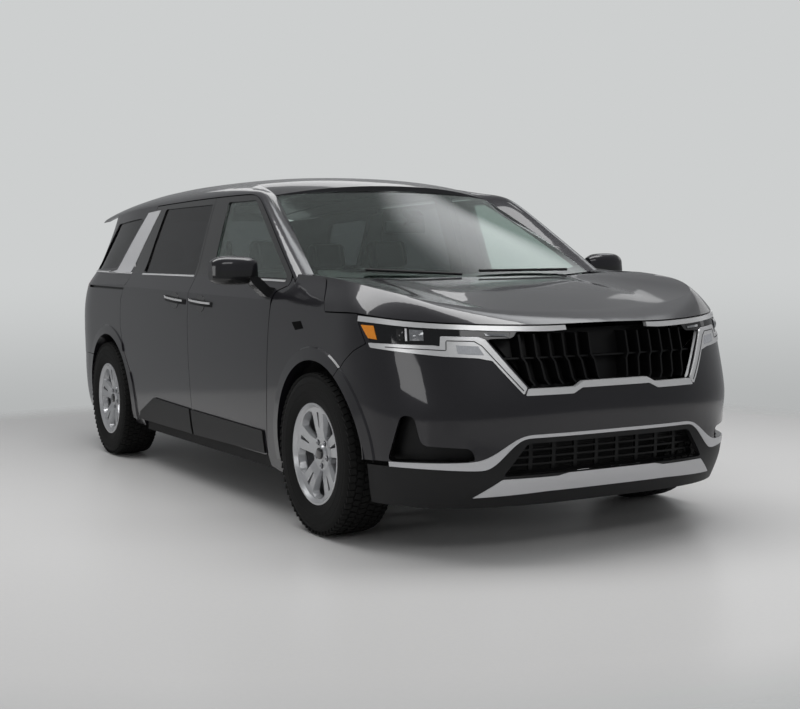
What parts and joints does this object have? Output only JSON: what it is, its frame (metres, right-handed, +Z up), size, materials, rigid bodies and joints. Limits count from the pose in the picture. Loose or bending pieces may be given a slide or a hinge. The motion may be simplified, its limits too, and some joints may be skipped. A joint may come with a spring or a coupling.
{
  "type": "minivan",
  "caption": "Passenger minivan with hinged front doors, sliding rear doors, hood, liftgate, steered front wheels and a hollow cabin with rows of seats.",
  "frame": {"origin": "on the ground at the centre of the vehicle's bounding box", "axes": "+X towards the nose, +Y to the vehicle's left, +Z up"},
  "size_m": [5.1492, 2.456, 1.7394],
  "materials": {
    "body_paint": "dark grey metallic",
    "black_plastic": "grained",
    "gloss_black": "gloss",
    "silver_trim": "satin silver paint",
    "bright_trim": "satin chrome",
    "clear_glass": "tinted",
    "dark_glass": "privacy tint",
    "lamp_glass": "clear",
    "lamp_red": "gloss",
    "alloy": "silver paint",
    "tyre": "matte",
    "cast_steel": "raw",
    "floor_steel": "underseal",
    "seat_cloth": "woven",
    "steel_tube": "aluminised"
  },
  "bodies": {
    "root": {"sliding_doors": "body_paint", "sliding_door_trim": "black_plastic", "quarter_panels": "body_paint", "rear_bumper": "body_paint", "tail_lamps": "lamp_red", "rear_side_windows": "dark_glass", "pillar_fins": "silver_trim", "side_frame_left": "body_paint", "side_frame_right": "body_paint", "fenders": "body_paint", "front_bumper": "body_paint", "bright_trim": "bright_trim", "headlamps": "lamp_glass", "silver_band": "silver_trim", "valance": "black_plastic", "grille": "gloss_black", "lower_grille": "black_plastic", "roof": "body_paint", "windshield": "clear_glass", "wipers": "black_plastic", "underbody": "floor_steel", "engine": "cast_steel", "exhaust": "steel_tube", "fuel_tank": "black_plastic", "dashboard": "black_plastic", "front_seats": "seat_cloth", "second_row_seats": "seat_cloth", "third_row_seats": "seat_cloth", "front_axle": "cast_steel", "rear_axle": "cast_steel"},
    "front_door_left": {"front_door_left": "body_paint", "front_door_glass_left": "clear_glass", "door_mirror_left": "body_paint", "front_door_trim_left": "black_plastic"},
    "front_door_right": {"front_door_right": "body_paint", "front_door_glass_right": "clear_glass", "door_mirror_right": "body_paint", "front_door_trim_right": "black_plastic"},
    "hood": {"hood": "body_paint"},
    "liftgate": {"liftgate": "body_paint", "liftgate_glass": "dark_glass"},
    "knuckle_left": {"knuckle_left": "cast_steel"},
    "knuckle_right": {"knuckle_right": "cast_steel"},
    "steering_wheel": {"steering_wheel": "black_plastic"},
    "wheel_front_left": {"tyre_front_left": "tyre", "rim_front_left": "alloy"},
    "wheel_front_right": {"tyre_front_right": "tyre", "rim_front_right": "alloy"},
    "wheel_rear_left": {"tyre_rear_left": "tyre", "rim_rear_left": "alloy"},
    "wheel_rear_right": {"tyre_rear_right": "tyre", "rim_rear_right": "alloy"}
  },
  "joints": [
    {"name": "front_door_left_hinge", "type": "hinge", "parent": "root", "child": "front_door_left", "pos_m": [1.17, 0.975, 0.7], "axis": [0, 0, -1], "range_deg": [0, 68]},
    {"name": "front_door_right_hinge", "type": "hinge", "parent": "root", "child": "front_door_right", "pos_m": [1.17, -0.975, 0.7], "axis": [0, 0, 1], "range_deg": [0, 68]},
    {"name": "hood_hinge", "type": "hinge", "parent": "root", "child": "hood", "pos_m": [1.478, 0, 1.146], "axis": [0, -1, 0], "range_deg": [0, 48]},
    {"name": "liftgate_hinge", "type": "hinge", "parent": "root", "child": "liftgate", "pos_m": [-2.236, 0, 1.678], "axis": [0, 1, 0], "range_deg": [0, 82]},
    {"name": "steer_left", "type": "hinge", "parent": "root", "child": "knuckle_left", "pos_m": [1.6425, 0.843, 0.368], "axis": [0, 0, 1], "range_deg": [-35, 35]},
    {"name": "steer_right", "type": "hinge", "parent": "root", "child": "knuckle_right", "pos_m": [1.6425, -0.843, 0.368], "axis": [0, 0, 1], "range_deg": [-35, 35]},
    {"name": "steering_wheel_turn", "type": "hinge", "parent": "root", "child": "steering_wheel", "pos_m": [0.88, 0.372, 0.985], "axis": [-0.9135, 0, 0.4067], "range_deg": [-504, 504]},
    {"name": "wheel_front_left_spin", "type": "hinge", "parent": "knuckle_left", "child": "wheel_front_left", "pos_m": [1.6425, 0.871, 0.368], "axis": [0, 1, 0], "continuous": true},
    {"name": "wheel_front_right_spin", "type": "hinge", "parent": "knuckle_right", "child": "wheel_front_right", "pos_m": [1.6425, -0.871, 0.368], "axis": [0, 1, 0], "continuous": true},
    {"name": "wheel_rear_left_spin", "type": "hinge", "parent": "root", "child": "wheel_rear_left", "pos_m": [-1.4475, 0.871, 0.368], "axis": [0, 1, 0], "continuous": true},
    {"name": "wheel_rear_right_spin", "type": "hinge", "parent": "root", "child": "wheel_rear_right", "pos_m": [-1.4475, -0.871, 0.368], "axis": [0, 1, 0], "continuous": true}
  ],
  "couplings": [
    {"joint": "steer_right", "follows": "steer_left", "ratio": 1},
    {"joint": "steering_wheel_turn", "follows": "steer_left", "ratio": 14.4}
  ]
}
